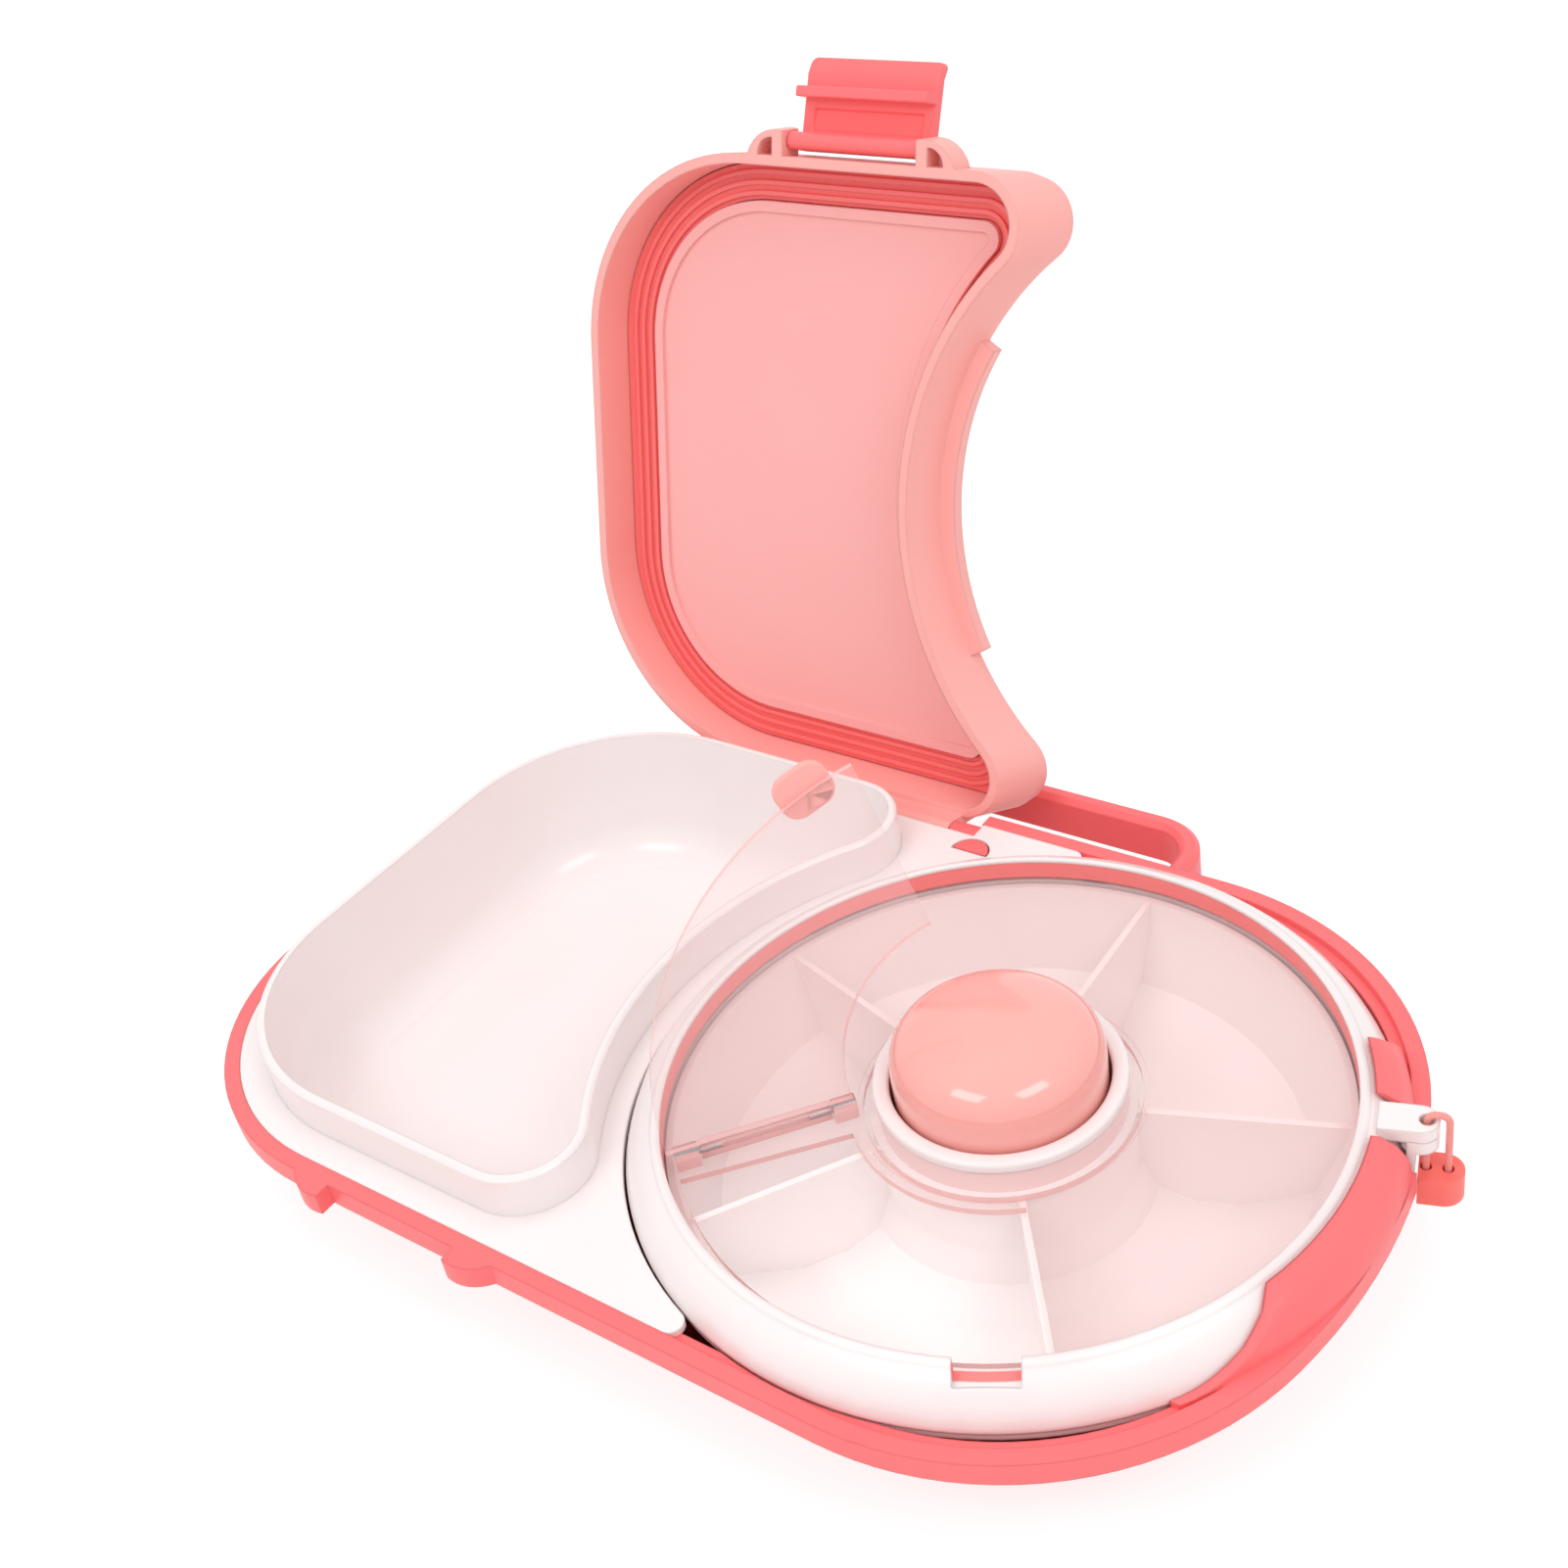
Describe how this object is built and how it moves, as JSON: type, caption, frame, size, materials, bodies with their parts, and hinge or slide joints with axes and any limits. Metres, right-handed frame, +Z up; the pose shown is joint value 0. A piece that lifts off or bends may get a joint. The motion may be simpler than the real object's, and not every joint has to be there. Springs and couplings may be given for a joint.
{
  "type": "snack spinner lunch box",
  "caption": "Children's lunch box with a bento basin under a hinged latching lid, a carry handle and a round press-button snack spinner with clear flap cover.",
  "frame": {"origin": "on the floor, under the axis of the snack spinner", "axes": "X along the box, + to the rounded nose at the spinner end; Y across the box, + to the lid hinge and handle; Z up"},
  "size_m": [0.2695, 0.2294, 0.1923],
  "materials": {
    "tray_coral": "coral moulded plastic, satin gloss",
    "lid_salmon": "salmon moulded plastic, satin gloss",
    "panel_pink": "soft pink panel",
    "gasket_coral": "coral silicone with fine ridges",
    "white_plastic": "white moulded plastic, gloss",
    "clear_plastic": "clear plastic, gloss",
    "seal_coral": "coral silicone",
    "button_salmon": "salmon moulded plastic, high gloss",
    "inner_plastic": "natural white plastic",
    "steel": "drawn steel",
    "lanyard_salmon": "woven elastic cord"
  },
  "bodies": {
    "base": {"base_tray": "tray_coral", "lid_hinge_pin": "steel", "bento_insert": "white_plastic", "spinner_bezel": "white_plastic", "spinner_bowl": "white_plastic", "cover_seal": "seal_coral", "clear_cover": "clear_plastic", "flap_pins": "steel", "button_spring": "steel", "post_cap": "inner_plastic", "rotor_washer": "inner_plastic", "detent_spring": "steel", "lanyard_tab": "seal_coral", "lanyard_cord": "lanyard_salmon"},
    "lid": {"lid_shell": "lid_salmon", "lid_gasket": "gasket_coral", "lid_inner_panel": "panel_pink", "latch_pin": "steel"},
    "latch": {"latch": "tray_coral"},
    "flap": {"cover_flap": "clear_plastic", "flap_tab": "seal_coral"},
    "rotor": {"compartment_rotor": "clear_plastic", "rotor_collar": "white_plastic", "ratchet_ring": "inner_plastic"},
    "button": {"spin_button": "button_salmon", "button_plunger": "inner_plastic"}
  },
  "joints": [
    {"name": "lid_hinge", "type": "hinge", "parent": "base", "child": "lid", "pos_m": [-0.0957, 0.0789, 0.0252], "axis": [1, 0, 0], "range_deg": [0, 104.7]},
    {"name": "latch_hinge", "type": "hinge", "parent": "lid", "child": "latch", "pos_m": [-0.0973, 0.12706, 0.17726], "axis": [1, 0, 0], "range_deg": [0, 100.3]},
    {"name": "flap_hinge", "type": "hinge", "parent": "base", "child": "flap", "pos_m": [-0.0363, -0.03227, 0.0353], "axis": [0.6374, 0.7705, 0], "range_deg": [0, 99]},
    {"name": "rotor_spin", "type": "hinge", "parent": "base", "child": "rotor", "pos_m": [0, 0, 0.015], "axis": [0, 0, 1], "continuous": true},
    {"name": "button_press", "type": "slide", "parent": "base", "child": "button", "axis": [0, 0, -1], "range_m": [0, 0.005], "stiffness_N_per_m": 400, "springref_m": -0.002, "deforming": ["button_spring"]}
  ]
}
